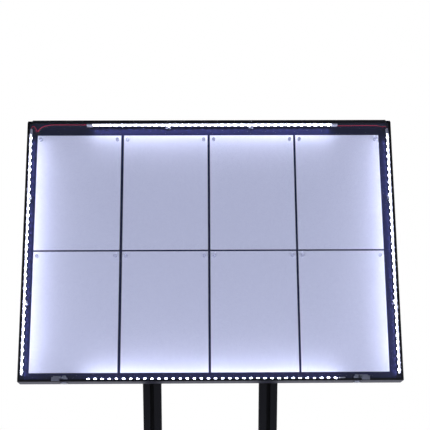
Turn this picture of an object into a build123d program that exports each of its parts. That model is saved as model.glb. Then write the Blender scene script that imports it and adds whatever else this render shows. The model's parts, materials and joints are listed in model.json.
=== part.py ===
from build123d import *
import math
import os

# Free-standing illuminated display case: a shallow black aluminium case that leans back on two
# grooved posts. Eight A4 sheets hang on a steel back panel under magnets, lit from all four
# sides by LED tape, behind a clear door that is hinged along its top edge.
# Millimetres. +Z is up, -Y is the front, and the origin is on the floor under the base.

# ---- Driving dimensions: case --------------------------------------------------------------
CASE_WIDTH = 906.0
CASE_HEIGHT = 650.0
BODY_DEPTH = 41.0
LEAN = 30.0                      # case leans back this far from upright, in degrees
CASE_ORIGIN = (0.0, -22.0, 1150.0)   # middle of the rim plane

RAIL_WALL = 2.0
RAIL_LIP = 5.0
LEG_THICKNESS = 1.5
LEG_FOOT = 9.0                   # inner face of the splayed leg where it meets the panel
FLANGE_WIDTH = 14.0
FLANGE_WALL = 1.5
PANEL_FRONT = -31.0
PANEL_THICKNESS = 1.0
PANEL_EDGE = 5.0                 # panel edge lies this far inside the outer face
SEAT_GAP = 0.2
COVER_THICKNESS = 1.5
COVER_INSET = 2.0

# ---- Driving dimensions: display and lighting ----------------------------------------------
SHEET_WIDTH = 210.0
SHEET_HEIGHT = 297.0
SHEET_THICKNESS = 0.4
SHEET_GAPS = (7.0, 6.0, 5.5)
ROW_GAP = 4.0
SHEETS_OFFSET = (-2.7, -1.0)
MAGNET_RADIUS = 4.0
MAGNET_LENGTH = 10.0
MAGNET_SIDE = 9.5
MAGNET_DROP = 12.0

TAPE_LENGTH = 600.0
TAPE_WIDTH = 10.0
TAPE_THICKNESS = 1.0
LED_PITCH = 1000.0 / 60.0
LED_COUNT = 36
LED_SIZE = 5.0
LED_HEIGHT = 1.8
TAPE_FRONT = -3.0                # front edge of the tape, measured along the splayed leg
TAPE_SHIFT = {"top": 7.0, "bottom": 3.0, "left": -7.0, "right": -7.0}
WIRE_RADIUS = 0.9

# ---- Driving dimensions: door --------------------------------------------------------------
GASKET_HEIGHT = 1.2
GASKET_WIDTH = 2.6
TRIM_BACK = 1.4
TRIM_WALL = 0.8
TRIM_LIP = 5.0
TOP_TRIM_LIP = 3.0
PANE_THICKNESS = 3.0
PANE_BACK = TRIM_BACK + TRIM_WALL
PANE_FRONT = PANE_BACK + PANE_THICKNESS
TRIM_FRONT = PANE_FRONT + TRIM_WALL
DOOR_TOP_GAP = 5.0
KNUCKLE_RADIUS = 2.4
PIN_RADIUS = 1.2
PIN_CLEARANCE = 0.06
LEAF_THICKNESS = 1.2
LEAF_DEPTH = 22.0
KNUCKLE_COUNT = 21
KNUCKLE_LENGTH = 42.0
KNUCKLE_GAP = 0.4

LOCK_OFFSET = 346.0
LOCK_AXIS_Z = -20.0
BARREL_RADIUS = 7.5
PLUG_RADIUS = 5.5
LOCK_CLEARANCE = 0.06
BARREL_INNER = 12.0
CAM_LENGTH = 18.0
CAM_WIDTH = 8.0
CAM_THICKNESS = 2.0
KEEPER_WIDTH = 19.0

# ---- Driving dimensions: stand -------------------------------------------------------------
POST_SIZE = 45.0
POST_OFFSET = 146.0
POST_TOP = 1000.0
BASE_SIZE = (720.0, 460.0, 8.0)
FOOT_HEIGHT = 6.0
FOOT_RADIUS = 25.0
ANCHOR_SPACING = (640.0, 380.0)
ANCHOR_RADIUS = 6.0
MOUNT_RAIL_LENGTH = 420.0
MOUNT_RAIL_SECTION = (40.0, 20.0)
MOUNT_RAIL_PLACES = (-80.0, 40.0)
BRACKET_WALL = 5.0

# ---- Worked-out values ---------------------------------------------------------------------
HALF_W = CASE_WIDTH / 2
HALF_H = CASE_HEIGHT / 2
PANEL_BACK = PANEL_FRONT - PANEL_THICKNESS
SEAT_FRONT = PANEL_BACK - SEAT_GAP
SEAT_BACK = SEAT_FRONT - FLANGE_WALL
COVER_FRONT = -BODY_DEPTH
COVER_BACK = COVER_FRONT - COVER_THICKNESS
BASE_TOP = FOOT_HEIGHT + BASE_SIZE[2]
LEG_LEAN = math.degrees(math.atan2(LEG_FOOT - RAIL_LIP, -PANEL_FRONT - RAIL_WALL))
CASE = Pos(*CASE_ORIGIN) * Rot(90 - LEAN, 0, 0)

parts = {}


def add(name, *solids):
    """Keep one sub-part; several solids in it stay separate."""
    flat = [solid for item in solids for solid in item.solids()]
    parts[name] = flat[0] if len(flat) == 1 else Compound(children=flat)


def block(x0, x1, y0, y1, z0, z1):
    """A box between two corners."""
    middle = Pos((x0 + x1) / 2, (y0 + y1) / 2, (z0 + z1) / 2)
    return middle * Box(abs(x1 - x0), abs(y1 - y0), abs(z1 - z0))


def rod(start, end, radius):
    """A round bar from one point to another."""
    line = Vector(*end) - Vector(*start)
    plane = Plane(origin=start, z_dir=line)
    return extrude(plane * Circle(radius), line.length)


def prism_yz(points, x0, x1):
    """A flat outline in the Y-Z plane, as thick as the stretch from x0 to x1."""
    side = Plane(origin=(x0, 0, 0), x_dir=(0, 1, 0), z_dir=(1, 0, 0))
    face = side * make_face(Polyline(*points, close=True))
    return extrude(face, x1 - x0)


def prism_xy(points, z0, z1):
    """A flat outline in the X-Y plane, as thick as the stretch from z0 to z1."""
    return extrude(Pos(0, 0, z0) * make_face(Polyline(*points, close=True)), z1 - z0)


def pan_screw(head_at, direction, head_radius, head_height, shank_radius, shank_length):
    """A pan-head screw: the seat of its head is at head_at and its shank runs along direction."""
    plane = Plane(origin=head_at, z_dir=direction)
    shank = extrude(plane * Circle(shank_radius), shank_length)
    head = extrude(plane * Circle(head_radius), -head_height)
    top_edge = head.edges().filter_by(GeomType.CIRCLE).sort_by(Axis(head_at, direction))[0]
    head = fillet(top_edge, head_height * 0.45)
    recess = plane * Pos(0, 0, -head_height) * Box(head_radius, head_radius * 0.25, head_height * 0.7)
    cross = plane * Pos(0, 0, -head_height) * Box(head_radius * 0.25, head_radius, head_height * 0.7)
    return head + shank - recess - cross


def hex_bolt(head_at, direction, across, head_height, shank_radius, shank_length):
    """A hexagon-head bolt seated at head_at."""
    plane = Plane(origin=head_at, z_dir=direction)
    head = extrude(plane * RegularPolygon(across / 2, 6, major_radius=False), -head_height)
    return head + extrude(plane * Circle(shank_radius), shank_length)


def wire(points, share=0.45):
    """A round wire along straight runs joined by arcs as large as the runs allow."""
    corners = [Vector(*point) for point in points]
    radii = []
    for before, corner, after in zip(corners, corners[1:], corners[2:]):
        first = corner - before
        second = after - corner
        turn = math.radians(first.get_angle(second))
        radii.append(share * min(first.length, second.length) / math.tan(turn / 2))
    path = FilletPolyline(*points, radius=radii) if radii else Line(*points)
    print("wire arcs", [round(radius, 1) for radius in radii])
    start = Plane(origin=path @ 0, z_dir=path % 0)
    tube = sweep(start * Circle(WIRE_RADIUS), path=path)
    print("wire volume ratio", round(tube.volume / (math.pi * WIRE_RADIUS ** 2 * path.length), 4))
    return tube


# ---- Case frame ----------------------------------------------------------------------------
# One extruded section serves all four sides: an outer wall, a narrow front lip, a leg that
# splays inwards and carries the LED tape, and a rear box that takes the corner keys.

def rail(length, reach):
    """One mitred frame side, drawn as the top side with its outer face at Y = reach."""
    def outline(*points):
        return [(reach - t, z) for t, z in points]

    def wall(t0, t1, z0, z1):
        return prism_yz(outline((t0, z0), (t1, z0), (t1, z1), (t0, z1)), -length / 2, length / 2)

    bar = wall(0, RAIL_WALL, -BODY_DEPTH, 0)
    bar += wall(0, RAIL_LIP, -RAIL_WALL, 0)
    leg = outline(
        (RAIL_LIP - LEG_THICKNESS, -RAIL_WALL),
        (RAIL_LIP, -RAIL_WALL),
        (LEG_FOOT, PANEL_FRONT),
        (LEG_FOOT - LEG_THICKNESS, PANEL_FRONT),
    )
    bar += prism_yz(leg, -length / 2, length / 2)
    bar += wall(0, FLANGE_WIDTH, SEAT_BACK, SEAT_FRONT)
    bar += wall(0, FLANGE_WIDTH, -BODY_DEPTH, -BODY_DEPTH + FLANGE_WALL)
    bar += wall(FLANGE_WIDTH - FLANGE_WALL, FLANGE_WIDTH, -BODY_DEPTH, SEAT_FRONT)
    inner = length / 2 - FLANGE_WIDTH - 1
    mitre = prism_xy(
        [
            (-length / 2, reach),
            (length / 2, reach),
            (inner, reach - FLANGE_WIDTH - 1),
            (-inner, reach - FLANGE_WIDTH - 1),
        ],
        -BODY_DEPTH - 1,
        1,
    )
    return bar & mitre


KEY_INNER = RAIL_WALL + 0.5
KEY_WIDTH = 9.5
KEY_LEG = 60.0
KEY_BACK = -BODY_DEPTH + FLANGE_WALL + 0.2
KEY_FRONT = SEAT_BACK - 0.2
KEY_SCREW_REACH = 40.0
KEY_SCREW_RADIUS = 2.0
KEY_SCREW_HEAD = 3.6


def at_corners(make):
    """Copies of one corner piece, drawn for the top right corner, in all four corners."""
    pieces = []
    for sx in (-1, 1):
        for sy in (-1, 1):
            pieces.append(make(sx, sy))
    return pieces


def corner_key(sx, sy):
    """An L-shaped key that fills the rear boxes of two frame sides."""
    x_out = HALF_W - KEY_INNER
    y_out = HALF_H - KEY_INNER
    outline = [
        (x_out, y_out),
        (x_out, y_out - KEY_LEG),
        (x_out - KEY_WIDTH, y_out - KEY_LEG),
        (x_out - KEY_WIDTH, y_out - KEY_WIDTH),
        (x_out - KEY_LEG, y_out - KEY_WIDTH),
        (x_out - KEY_LEG, y_out),
    ]
    return prism_xy([(sx * x, sy * y) for x, y in outline], KEY_BACK, KEY_FRONT)


def key_screw_places(sx, sy):
    """The two screw places of one corner key."""
    middle = KEY_INNER + KEY_WIDTH / 2
    return [
        (sx * (HALF_W - middle), sy * (HALF_H - KEY_SCREW_REACH)),
        (sx * (HALF_W - KEY_SCREW_REACH), sy * (HALF_H - middle)),
    ]


def countersunk(x, y):
    """A countersunk screw from the rear face into a corner key."""
    shank = Pos(x, y, (-BODY_DEPTH + KEY_FRONT) / 2) * Cylinder(KEY_SCREW_RADIUS, KEY_FRONT + BODY_DEPTH)
    head_height = KEY_SCREW_HEAD - KEY_SCREW_RADIUS
    head = Pos(x, y, -BODY_DEPTH + head_height / 2) * Cone(KEY_SCREW_HEAD, KEY_SCREW_RADIUS, head_height)
    return shank + head


key_screws = [countersunk(x, y) for pair in at_corners(key_screw_places) for x, y in pair]
corner_keys = [key - key_screws for key in at_corners(corner_key)]

COVER_SCREW_RADIUS = 1.6
COVER_SCREW_INSET = 7.5
COVER_SCREWS_WIDE = (-330.0, -110.0, 110.0, 330.0)
COVER_SCREWS_HIGH = (-200.0, 0.0, 200.0)


def cover_screw_places():
    """Screw places round the edge of the rear cover."""
    places = []
    for side in (-1, 1):
        for x in COVER_SCREWS_WIDE:
            places.append((x, side * (HALF_H - COVER_SCREW_INSET)))
        for y in COVER_SCREWS_HIGH:
            places.append((side * (HALF_W - COVER_SCREW_INSET), y))
    return places


def cover_screw_hole(x, y):
    """The hole of one cover screw through cover and frame."""
    return Pos(x, y, -BODY_DEPTH) * Cylinder(COVER_SCREW_RADIUS, 8)


cover_holes = [cover_screw_hole(x, y) for x, y in cover_screw_places()]
cover_screws = [
    pan_screw((x, y, COVER_BACK), (0, 0, 1), 3.2, 1.8, COVER_SCREW_RADIUS, COVER_THICKNESS + FLANGE_WALL + 1)
    for x, y in cover_screw_places()
]


def lock_places():
    """The two lock axes along the lower side."""
    return (-LOCK_OFFSET, LOCK_OFFSET)


def lock_hole(x):
    """The bore for one lock barrel through the lower frame side."""
    return rod((x, -HALF_H - 1, LOCK_AXIS_Z), (x, -HALF_H + BARREL_INNER, LOCK_AXIS_Z), BARREL_RADIUS)


lock_bores = [lock_hole(x) for x in lock_places()]
HINGE_SCREWS = [-400.0 + 100.0 * i for i in range(9)]
HINGE_SCREW_RADIUS = 1.5
HINGE_SCREW_Z = -12.0
hinge_holes = [
    rod((x, HALF_H + 5, HINGE_SCREW_Z), (x, HALF_H - 4, HINGE_SCREW_Z), HINGE_SCREW_RADIUS)
    for x in HINGE_SCREWS
]

CLIP_TOP = 104.0
CLIP_SIDE = 133.0
CLIP_SCREW_RADIUS = 1.2


def side_turn(side):
    """Turns a piece drawn on the top side onto another side of the case."""
    angles = {"top": 0, "bottom": 180, "left": 90, "right": -90}
    return Rot(0, 0, angles[side])


def side_reach(side):
    """Distance from the middle of the case to the outer face of a side."""
    return HALF_H if side in ("top", "bottom") else HALF_W


def on_leg(side, along, up, down):
    """A place on the splayed leg: along the side, height above its face, and down from the lip."""
    plane = Pos(0, side_reach(side) - RAIL_LIP, -RAIL_WALL) * Rot(-LEG_LEAN, 0, 0)
    return side_turn(side) * plane * Pos(along, -up, -down)


CLIP_PLACES = {
    "top": (-CLIP_TOP, CLIP_TOP),
    "left": (-CLIP_SIDE, CLIP_SIDE),
    "right": (-CLIP_SIDE, CLIP_SIDE),
}
CLIP_LENGTH = 13.0
CLIP_DOWN = 20.0


def clip_pieces():
    """Clear clips screwed to the leg, each with a toe that holds the panel forward edge down."""
    clips = []
    screws = []
    for side, places in CLIP_PLACES.items():
        for along in places:
            body = on_leg(side, along, 1.5, CLIP_DOWN) * Box(CLIP_LENGTH, 3.0, 7.0)
            hump = on_leg(side, along + 3, 3.6, CLIP_DOWN) * Box(4.5, 1.4, 4.5)
            shank = Rot(90, 0, 0) * Cylinder(CLIP_SCREW_RADIUS, 5.8)
            shank = on_leg(side, along - 2.5, 1.4, CLIP_DOWN) * shank
            head = on_leg(side, along - 2.5, 3.9, CLIP_DOWN) * Rot(90, 0, 0) * Cylinder(2.3, 1.6)
            screw = shank + head
            clips.append(body + hump - screw)
            screws.append(screw)
    return clips, screws


panel_clips, clip_screws = clip_pieces()

cuts = key_screws + cover_holes + lock_bores + hinge_holes + clip_screws
for side in ("top", "bottom", "left", "right"):
    length = CASE_WIDTH if side in ("top", "bottom") else CASE_HEIGHT
    bar = side_turn(side) * rail(length, side_reach(side))
    add("frame_" + side, CASE * (bar - cuts))

add("corner_keys", *[CASE * key for key in corner_keys])
add("corner_screws", *[CASE * screw for screw in key_screws])
add("panel_clips", *[CASE * clip for clip in panel_clips])
add("clip_screws", *[CASE * screw for screw in clip_screws])

# ---- Back panel and rear cover -------------------------------------------------------------
GROMMET_PLACE = (-HALF_W + 21.0, HALF_H - 20.5)
GROMMET_RADIUS = 5.0
panel = block(
    -HALF_W + PANEL_EDGE,
    HALF_W - PANEL_EDGE,
    -HALF_H + PANEL_EDGE,
    HALF_H - PANEL_EDGE,
    PANEL_BACK,
    PANEL_FRONT,
)
grommet_hole = Pos(*GROMMET_PLACE, PANEL_FRONT) * Cylinder(GROMMET_RADIUS, 6)
add("back_panel", CASE * (panel - grommet_hole))

grommet = Pos(*GROMMET_PLACE, (PANEL_FRONT + PANEL_BACK) / 2) * Cylinder(GROMMET_RADIUS, PANEL_THICKNESS)
for z in (PANEL_FRONT + 0.6, PANEL_BACK - 0.6):
    grommet += Pos(*GROMMET_PLACE, z) * Cylinder(GROMMET_RADIUS + 1.2, 1.2)
grommet -= Pos(*GROMMET_PLACE, PANEL_FRONT) * Cylinder(GROMMET_RADIUS - 1.2, 8)
add("grommet", CASE * grommet)

HOUSING_HALF_W = 110.0
HOUSING_LOW = -260.0
HOUSING_HIGH = -140.0
HOUSING_DEPTH = 40.0
HOUSING_WALL = 1.5
HOUSING_FLANGE = 12.0
HOUSING_BACK = COVER_BACK - HOUSING_DEPTH
WIRE_PORT = (-60.0, -180.0)
WIRE_PORT_RADIUS = 8.0

cover = block(
    -HALF_W + COVER_INSET,
    HALF_W - COVER_INSET,
    -HALF_H + COVER_INSET,
    HALF_H - COVER_INSET,
    COVER_BACK,
    COVER_FRONT,
)
cover -= Pos(*WIRE_PORT, COVER_FRONT) * Cylinder(WIRE_PORT_RADIUS, 8)

# ---- Mounting rails behind the cover -------------------------------------------------------
RAIL_TUBE_WALL = 3.0
RAIL_BOLT_RADIUS = 4.0
RAIL_BOLT_OFFSETS = (-17.0, 17.0)
RAIL_SCREW_PLACES = (-195.0, -60.0, 60.0, 195.0)
RAIL_SCREW_RADIUS = 2.5


def mount_rail(y):
    """A rectangular tube across the back of the case."""
    high, deep = MOUNT_RAIL_SECTION
    half = MOUNT_RAIL_LENGTH / 2
    tube = block(-half, half, y - high / 2, y + high / 2, COVER_BACK - deep, COVER_BACK)
    wall = RAIL_TUBE_WALL
    hollow_low = y - high / 2 + wall
    hollow_high = y + high / 2 - wall
    hollow = block(-half - 1, half + 1, hollow_low, hollow_high, COVER_BACK - deep + wall, COVER_BACK - wall)
    return tube - hollow


def rail_screw(x, y):
    """A rivet-like flanged screw that fastens the cover to a mounting rail from inside."""
    shank = Pos(x, y, COVER_FRONT - 3) * Cylinder(RAIL_SCREW_RADIUS, 6)
    head = Pos(x, y, COVER_FRONT + 0.9) * Cylinder(RAIL_SCREW_RADIUS * 2, 1.8)
    return shank + head


rail_screws = [rail_screw(x, y) for x in RAIL_SCREW_PLACES for y in MOUNT_RAIL_PLACES]

FLANGE_BACK = COVER_BACK - MOUNT_RAIL_SECTION[1] - BRACKET_WALL
RAIL_BOLT_LENGTH = MOUNT_RAIL_SECTION[1] + BRACKET_WALL - 4


def rail_bolt(x, y):
    """A hexagon bolt through the bracket flange into a mounting rail."""
    return hex_bolt((x, y, FLANGE_BACK), (0, 0, 1), 13.0, 5.3, RAIL_BOLT_RADIUS, RAIL_BOLT_LENGTH)


rail_bolts = []
for side in (-1, 1):
    for offset in RAIL_BOLT_OFFSETS:
        for y in MOUNT_RAIL_PLACES:
            rail_bolts.append(rail_bolt(side * POST_OFFSET + offset, y))

add("rear_cover_screws", *[CASE * screw for screw in cover_screws])
for name, y in zip(("lower_mount_rail", "upper_mount_rail"), MOUNT_RAIL_PLACES):
    add(name, CASE * (mount_rail(y) - rail_screws - rail_bolts))
add("mount_rail_screws", *[CASE * screw for screw in rail_screws])

# ---- LED tape ------------------------------------------------------------------------------


def tape_piece(side):
    """The printed tape, bonded to the splayed leg."""
    along = TAPE_SHIFT[side] * tape_sign(side)
    middle = on_leg(side, along, TAPE_THICKNESS / 2, -TAPE_FRONT + TAPE_WIDTH / 2)
    return middle * Box(TAPE_LENGTH, TAPE_THICKNESS, TAPE_WIDTH)


def tape_sign(side):
    """A shift along a side is given in case coordinates; turned sides run the other way."""
    return {"top": 1, "bottom": -1, "left": 1, "right": -1}[side]


def led_pieces(side):
    """The row of LED packages on one tape."""
    row = []
    for i in range(LED_COUNT):
        along = TAPE_SHIFT[side] * tape_sign(side) + (i - (LED_COUNT - 1) / 2) * LED_PITCH
        middle = on_leg(side, along, TAPE_THICKNESS + LED_HEIGHT / 2, -TAPE_FRONT + TAPE_WIDTH / 2)
        row.append(middle * Box(LED_SIZE, LED_HEIGHT, LED_SIZE))
    return row


CONNECTOR_LENGTH = 14.0
CONNECTOR_HEIGHT = 3.4
CONNECTOR_ENDS = {"top": (-1, 1), "bottom": (-1,), "left": (1,), "right": (-1,)}


def connector(side, end):
    """A plug-on connector butted against one end of a tape."""
    along = TAPE_SHIFT[side] * tape_sign(side) + end * (TAPE_LENGTH + CONNECTOR_LENGTH) / 2
    place = on_leg(side, along, CONNECTOR_HEIGHT / 2, -TAPE_FRONT + TAPE_WIDTH / 2)
    body = place * Box(CONNECTOR_LENGTH, CONNECTOR_HEIGHT, TAPE_WIDTH)
    return body


leds = []
connectors = []
for side in ("top", "bottom", "left", "right"):
    add("led_tape_" + side, CASE * tape_piece(side))
    leds += led_pieces(side)
    connectors += [connector(side, end) for end in CONNECTOR_ENDS[side]]
add("leds", *[CASE * led for led in leds])
add("tape_connectors", *[CASE * piece for piece in connectors])

# ---- Display sheets and magnets ------------------------------------------------------------
BLOCK_WIDTH = 4 * SHEET_WIDTH + sum(SHEET_GAPS)
ROW_STEP = SHEET_HEIGHT + ROW_GAP


def sheet_place(column, row):
    """Middle of one sheet; row 0 is the upper row."""
    left = SHEETS_OFFSET[0] - BLOCK_WIDTH / 2 + column * SHEET_WIDTH + sum(SHEET_GAPS[:column])
    return left + SHEET_WIDTH / 2, SHEETS_OFFSET[1] + ROW_STEP * (0.5 - row)


magnets = []
for row, name in enumerate(("menu_sheets_upper", "menu_sheets_lower")):
    sheets = []
    for column in range(4):
        x, y = sheet_place(column, row)
        sheet = Box(SHEET_WIDTH, SHEET_HEIGHT, SHEET_THICKNESS)
        sheets.append(CASE * Pos(x, y, PANEL_FRONT + SHEET_THICKNESS / 2) * sheet)
        for end in (-1, 1):
            place = Pos(
                x + end * (SHEET_WIDTH / 2 - MAGNET_SIDE),
                y + SHEET_HEIGHT / 2 - MAGNET_DROP,
                PANEL_FRONT + SHEET_THICKNESS + MAGNET_LENGTH / 2,
            )
            pin = Cylinder(MAGNET_RADIUS, MAGNET_LENGTH)
            front_edge = pin.edges().filter_by(GeomType.CIRCLE).sort_by(Axis.Z)[-1]
            magnets.append(CASE * place * fillet(front_edge, 1.0))
    add(name, *sheets)
add("sheet_magnets", *magnets)

# ---- Door ----------------------------------------------------------------------------------
DOOR_LEFT = -HALF_W
DOOR_RIGHT = HALF_W
DOOR_LOW = -HALF_H
DOOR_HIGH = HALF_H - DOOR_TOP_GAP
HINGE_Y = HALF_H + LEAF_THICKNESS - KNUCKLE_RADIUS
HINGE_Z = KNUCKLE_RADIUS + 0.4

KEEPER_NEAR = 8.5
KEEPER_DOWN = -28.0
RIVET_RADIUS = 1.3
RIVET_T = 7.2


def keeper_span(x):
    """The stretch along the lower side that the keeper beside one lock takes up."""
    sign = 1 if x > 0 else -1
    return sorted((x + sign * KEEPER_NEAR, x + sign * (KEEPER_NEAR + KEEPER_WIDTH)))


def rivet_places(x):
    """The two rivets of one keeper."""
    x0, x1 = keeper_span(x)
    return (x0 + 4, x1 - 4)


def rivet(x):
    """A rivet through plate, pane and keeper."""
    y = -HALF_H + RIVET_T
    front = Pos(x, y, TRIM_FRONT + 1.0 + 0.5) * Cylinder(RIVET_RADIUS * 1.7, 1.0)
    shank_low = PANE_BACK - 1.5
    shank_high = TRIM_FRONT + 1.0
    shank = Pos(x, y, (shank_low + shank_high) / 2) * Cylinder(RIVET_RADIUS, shank_high - shank_low)
    return front + shank


rivets = [rivet(x) for lock in lock_places() for x in rivet_places(lock)]


def keeper(x):
    """A bent steel hook behind the door: its foot lies behind the cam when the lock is shut."""
    x0, x1 = keeper_span(x)
    y0 = -HALF_H + 9.5
    tab = block(x0, x1, -HALF_H + 5.6, y0 + 2.0, PANE_BACK - 1.5, PANE_BACK)
    arm = block(x0, x1, y0, y0 + 2.0, KEEPER_DOWN, PANE_BACK)
    foot = block(x0, x1, y0, y0 + 8.0, KEEPER_DOWN, KEEPER_DOWN + 2.0)
    return tab + arm + foot - rivets


def keeper_plate(x):
    """The plate on the front of the door that the keeper is riveted to."""
    x0, x1 = keeper_span(x)
    over_trim = block(x0, x1, -HALF_H + 1.2, -HALF_H + 9.5, TRIM_FRONT, TRIM_FRONT + 1.0)
    on_pane = block(x0, x1, -HALF_H + TRIM_LIP, -HALF_H + 9.5, PANE_FRONT, TRIM_FRONT)
    return over_trim + on_pane - rivets


pane = block(
    DOOR_LEFT + TRIM_WALL,
    DOOR_RIGHT - TRIM_WALL,
    DOOR_LOW + TRIM_WALL,
    DOOR_HIGH - TRIM_WALL,
    PANE_BACK,
    PANE_FRONT,
)
add("door_pane", CASE * (pane - rivets))


def trim(length, reach, lip):
    """A mitred channel over one edge of the pane, drawn as the top edge."""
    outer = prism_yz(
        [(reach, TRIM_BACK), (reach, TRIM_FRONT), (reach - lip, TRIM_FRONT), (reach - lip, TRIM_BACK)],
        -length / 2,
        length / 2,
    )
    slot = prism_yz(
        [
            (reach - TRIM_WALL, PANE_BACK),
            (reach - TRIM_WALL, PANE_FRONT),
            (reach - lip - 1, PANE_FRONT),
            (reach - lip - 1, PANE_BACK),
        ],
        -length / 2 - 1,
        length / 2 + 1,
    )
    inner = length / 2 - lip - 1
    mitre = prism_xy(
        [(-length / 2, reach), (length / 2, reach), (inner, reach - lip - 1), (-inner, reach - lip - 1)],
        TRIM_BACK - 1,
        TRIM_FRONT + 1,
    )
    return (outer - slot) & mitre


door_height = DOOR_HIGH - DOOR_LOW
door_middle = Pos(0, (DOOR_HIGH + DOOR_LOW) / 2, 0)
for side in ("top", "bottom", "left", "right"):
    wide = side in ("top", "bottom")
    length = CASE_WIDTH if wide else door_height
    reach = door_height / 2 if wide else HALF_W
    lip = TOP_TRIM_LIP if side == "top" else TRIM_LIP
    add("door_trim_" + side, CASE * door_middle * side_turn(side) * trim(length, reach, lip))

add("keepers", *[CASE * keeper(x) for x in lock_places()])
add("keeper_plates", *[CASE * keeper_plate(x) for x in lock_places()])
add("keeper_rivets", *[CASE * piece for piece in rivets])

# A soft gasket lies on the lip at both sides and the bottom; the door closes on it.
gasket_ring = block(-HALF_W + 1.2, HALF_W - 1.2, -HALF_H + 1.2, HALF_H - 6.2, 0, GASKET_HEIGHT)
gasket_hole = block(
    -HALF_W + 1.2 + GASKET_WIDTH,
    HALF_W - 1.2 - GASKET_WIDTH,
    -HALF_H + 1.2 + GASKET_WIDTH,
    HALF_H,
    -1,
    GASKET_HEIGHT + 1,
)
add("door_gasket", CASE * (gasket_ring - gasket_hole))

# ---- Continuous hinge ----------------------------------------------------------------------
HINGE_LENGTH = KNUCKLE_COUNT * KNUCKLE_LENGTH


def knuckles(first):
    """Every second knuckle of the hinge, starting with number first."""
    tubes = []
    for i in range(first, KNUCKLE_COUNT, 2):
        x0 = -HINGE_LENGTH / 2 + i * KNUCKLE_LENGTH + KNUCKLE_GAP / 2
        x1 = x0 + KNUCKLE_LENGTH - KNUCKLE_GAP
        tubes.append(rod((x0, HINGE_Y, HINGE_Z), (x1, HINGE_Y, HINGE_Z), KNUCKLE_RADIUS))
    return tubes


def leaf_bridges(first, y0, y1, z0, z1):
    """Short webs that join every second knuckle to its leaf."""
    webs = []
    for i in range(first, KNUCKLE_COUNT, 2):
        x0 = -HINGE_LENGTH / 2 + i * KNUCKLE_LENGTH + KNUCKLE_GAP / 2
        webs.append(block(x0, x0 + KNUCKLE_LENGTH - KNUCKLE_GAP, y0, y1, z0, z1))
    return webs


half_hinge = HINGE_LENGTH / 2
case_leaf = block(-half_hinge, half_hinge, HALF_H, HALF_H + LEAF_THICKNESS, -LEAF_DEPTH, -0.5)
case_leaf = case_leaf + knuckles(0) + leaf_bridges(0, HALF_H, HALF_H + LEAF_THICKNESS, -0.5, HINGE_Z)
case_bore = rod((-half_hinge - 1, HINGE_Y, HINGE_Z), (half_hinge + 1, HINGE_Y, HINGE_Z), PIN_RADIUS)
add("hinge_case_leaf", CASE * (case_leaf - case_bore - hinge_holes))

DOOR_LEAF_REACH = 3.0
door_leaf_low = DOOR_HIGH - DOOR_LEAF_REACH
door_leaf = block(-half_hinge, half_hinge, door_leaf_low, DOOR_HIGH, TRIM_FRONT, TRIM_FRONT + LEAF_THICKNESS)
web_top = HINGE_Z + KNUCKLE_RADIUS
door_leaf = door_leaf + knuckles(1)
door_leaf = door_leaf + leaf_bridges(1, DOOR_HIGH, HINGE_Y, web_top - LEAF_THICKNESS, web_top)
door_leaf = door_leaf + leaf_bridges(
    1, DOOR_HIGH - 0.6, DOOR_HIGH + 0.6, web_top - LEAF_THICKNESS, TRIM_FRONT + LEAF_THICKNESS
)
door_leaf = door_leaf - block(-half_hinge, half_hinge, DOOR_HIGH - 1, DOOR_HIGH, TRIM_BACK, TRIM_FRONT)
door_bore = rod(
    (-half_hinge - 1, HINGE_Y, HINGE_Z), (half_hinge + 1, HINGE_Y, HINGE_Z), PIN_RADIUS + PIN_CLEARANCE
)
add("hinge_door_leaf", CASE * (door_leaf - door_bore))
add("hinge_pin", CASE * rod((-half_hinge, HINGE_Y, HINGE_Z), (half_hinge, HINGE_Y, HINGE_Z), PIN_RADIUS))

hinge_screws = [
    pan_screw((x, HALF_H + LEAF_THICKNESS, HINGE_SCREW_Z), (0, -1, 0), 2.8, 1.5, HINGE_SCREW_RADIUS, 5.0)
    for x in HINGE_SCREWS
]
add("hinge_screws", *[CASE * screw for screw in hinge_screws])

# ---- Cam locks -----------------------------------------------------------------------------
LOCK_HEAD_RADIUS = 9.5
LOCK_HEAD_HEIGHT = 2.0
CAM_NUT_ACROSS = 7.0
CAM_NUT_HEIGHT = 2.4


def lock_barrel(x):
    """The fixed body of one cam lock, with a flange outside the lower side."""
    low = -HALF_H
    body = rod((x, low, LOCK_AXIS_Z), (x, low + BARREL_INNER, LOCK_AXIS_Z), BARREL_RADIUS)
    head = rod((x, low - LOCK_HEAD_HEIGHT, LOCK_AXIS_Z), (x, low, LOCK_AXIS_Z), LOCK_HEAD_RADIUS)
    bore_end = low + BARREL_INNER + 1
    mouth = low - LOCK_HEAD_HEIGHT - 1
    bore = rod((x, mouth, LOCK_AXIS_Z), (x, bore_end, LOCK_AXIS_Z), PLUG_RADIUS + LOCK_CLEARANCE)
    return body + head - bore


def lock_plug(x):
    """The turning plug with its keyway."""
    low = -HALF_H - LOCK_HEAD_HEIGHT
    plug = rod((x, low, LOCK_AXIS_Z), (x, -HALF_H + BARREL_INNER + 0.4, LOCK_AXIS_Z), PLUG_RADIUS)
    keyway = block(x - 0.9, x + 0.9, low - 1, low + 8, LOCK_AXIS_Z - 3.4, LOCK_AXIS_Z + 3.4)
    return plug - keyway


def lock_cam(x):
    """The flat cam on the end of the plug, drawn unlocked: it points forwards."""
    y0 = -HALF_H + BARREL_INNER + 0.4
    half = CAM_WIDTH / 2
    arm = block(x - half, x + half, y0, y0 + CAM_THICKNESS, LOCK_AXIS_Z, LOCK_AXIS_Z + CAM_LENGTH)
    return arm + rod((x, y0, LOCK_AXIS_Z), (x, y0 + CAM_THICKNESS, LOCK_AXIS_Z), CAM_WIDTH / 2 + 1)


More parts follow.
